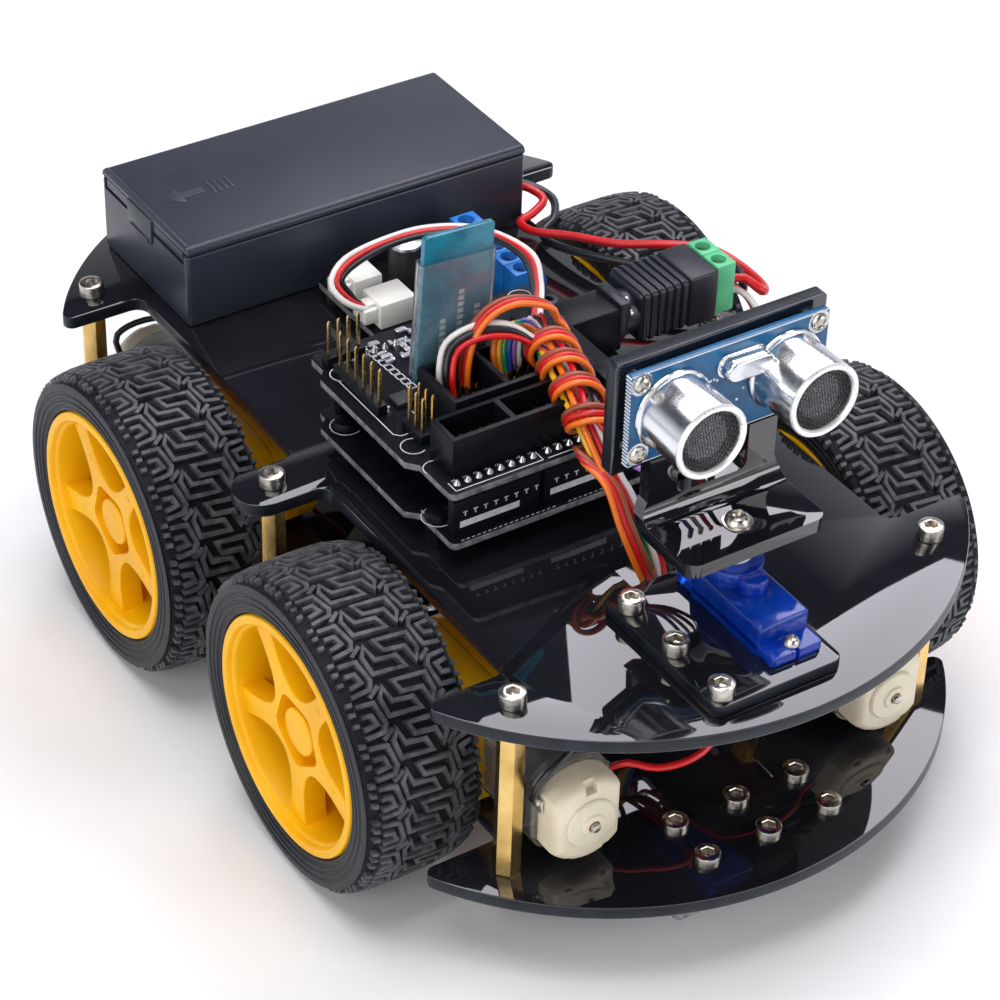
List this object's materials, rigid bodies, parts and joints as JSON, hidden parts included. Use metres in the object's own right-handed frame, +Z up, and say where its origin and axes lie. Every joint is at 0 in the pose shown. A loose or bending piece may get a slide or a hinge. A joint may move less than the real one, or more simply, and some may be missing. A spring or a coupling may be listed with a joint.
{
  "type": "four wheel robot chassis",
  "caption": "Four wheel robot car with two round-ended decks on standoffs, geared motors, a battery box, stacked boards and a servo that pans a distance sensor.",
  "frame": {"origin": "on the floor, at the middle of the four wheels and of the two round-ended decks", "axes": "+Z up, -Y the car's front where the distance sensor looks, +X towards the right-hand wheels seen in a view that looks along +Y"},
  "size_m": [0.152, 0.2278, 0.1256],
  "materials": {
    "deck_acrylic": "mirror-polished black acrylic with matt laser-cut edges",
    "brass": "turned and drawn, bright with light tarnish",
    "yellow_plastic": "moulded, satin",
    "tyre_rubber": "moulded rubber, satin tread and ribbed sidewalls",
    "motor_steel": "drawn can, satin",
    "cream_nylon": "moulded nylon, slightly waxy",
    "bright_steel": "nickel plated",
    "white_plastic": "moulded, satin",
    "battery_case": "fine spark-eroded texture",
    "cell_wrap": "shrink sleeve, glossy",
    "black_board": "solder mask over glass-fibre laminate",
    "blue_board": "solder mask over glass-fibre laminate",
    "teal_board": "solder mask under a clear sleeve",
    "black_plastic": "moulded, fine texture",
    "servo_blue": "clear blue moulding, glossy",
    "lead_red": "PVC insulation",
    "lead_black": "PVC insulation",
    "lead_orange": "PVC insulation"
  },
  "bodies": {
    "chassis": {"lower_deck": "deck_acrylic", "upper_deck": "deck_acrylic", "standoff_front_left": "brass", "standoff_front_right": "brass", "standoff_middle_left": "brass", "standoff_middle_right": "brass", "standoff_rear_left": "brass", "standoff_rear_right": "brass", "gearbox_front_left": "yellow_plastic", "motor_can_front_left": "motor_steel", "motor_end_cap_front_left": "cream_nylon", "motor_rotor_front_left": "bright_steel", "motor_bracket_front_left": "deck_acrylic", "gearbox_front_right": "yellow_plastic", "motor_can_front_right": "motor_steel", "motor_end_cap_front_right": "cream_nylon", "motor_rotor_front_right": "bright_steel", "motor_bracket_front_right": "deck_acrylic", "gearbox_rear_left": "yellow_plastic", "motor_can_rear_left": "motor_steel", "motor_end_cap_rear_left": "cream_nylon", "motor_rotor_rear_left": "bright_steel", "motor_bracket_rear_left": "deck_acrylic", "gearbox_rear_right": "yellow_plastic", "motor_can_rear_right": "motor_steel", "motor_end_cap_rear_right": "cream_nylon", "motor_rotor_rear_right": "bright_steel", "motor_bracket_rear_right": "deck_acrylic", "battery_box": "battery_case", "battery_cell_front": "cell_wrap", "battery_cell_rear": "cell_wrap", "controller_board": "black_board", "expansion_shield": "black_board", "wireless_module": "teal_board", "motor_driver": "black_board", "dc_plug_adapter": "black_plastic", "line_sensor": "black_board", "servo_base_plate": "deck_acrylic", "servo_case": "servo_blue", "wire_loom": "lead_orange", "battery_lead_red": "lead_red", "battery_lead_black": "lead_black"},
    "wheel_front_left": {"tyre_front_left": "tyre_rubber", "wheel_hub_front_left": "yellow_plastic", "output_shaft_front_left": "white_plastic"},
    "wheel_front_right": {"tyre_front_right": "tyre_rubber", "wheel_hub_front_right": "yellow_plastic", "output_shaft_front_right": "white_plastic"},
    "wheel_rear_left": {"tyre_rear_left": "tyre_rubber", "wheel_hub_rear_left": "yellow_plastic", "output_shaft_rear_left": "white_plastic"},
    "wheel_rear_right": {"tyre_rear_right": "tyre_rubber", "wheel_hub_rear_right": "yellow_plastic", "output_shaft_rear_right": "white_plastic"},
    "lid": {"battery_lid": "battery_case"},
    "pan_head": {"servo_horn": "white_plastic", "sonar_bracket": "deck_acrylic", "sonar_board": "blue_board", "sonar_transducer_left": "bright_steel", "sonar_transducer_right": "bright_steel"}
  },
  "joints": [
    {"name": "wheel_front_left_spin", "type": "hinge", "parent": "chassis", "child": "wheel_front_left", "pos_m": [-0.063, -0.0402, 0.0345], "axis": [1, 0, 0], "continuous": true},
    {"name": "wheel_front_right_spin", "type": "hinge", "parent": "chassis", "child": "wheel_front_right", "pos_m": [0.063, -0.0402, 0.0345], "axis": [1, 0, 0], "continuous": true},
    {"name": "wheel_rear_left_spin", "type": "hinge", "parent": "chassis", "child": "wheel_rear_left", "pos_m": [-0.063, 0.0402, 0.0345], "axis": [1, 0, 0], "continuous": true},
    {"name": "wheel_rear_right_spin", "type": "hinge", "parent": "chassis", "child": "wheel_rear_right", "pos_m": [0.063, 0.0402, 0.0345], "axis": [1, 0, 0], "continuous": true},
    {"name": "sonar_pan", "type": "hinge", "parent": "chassis", "child": "pan_head", "pos_m": [0.0012, -0.082, 0.083], "axis": [0, 0, 1], "range_deg": [-90, 90]},
    {"name": "battery_lid_slide", "type": "slide", "parent": "chassis", "child": "lid", "axis": [-1, 0, 0], "range_m": [0, 0.06]}
  ]
}
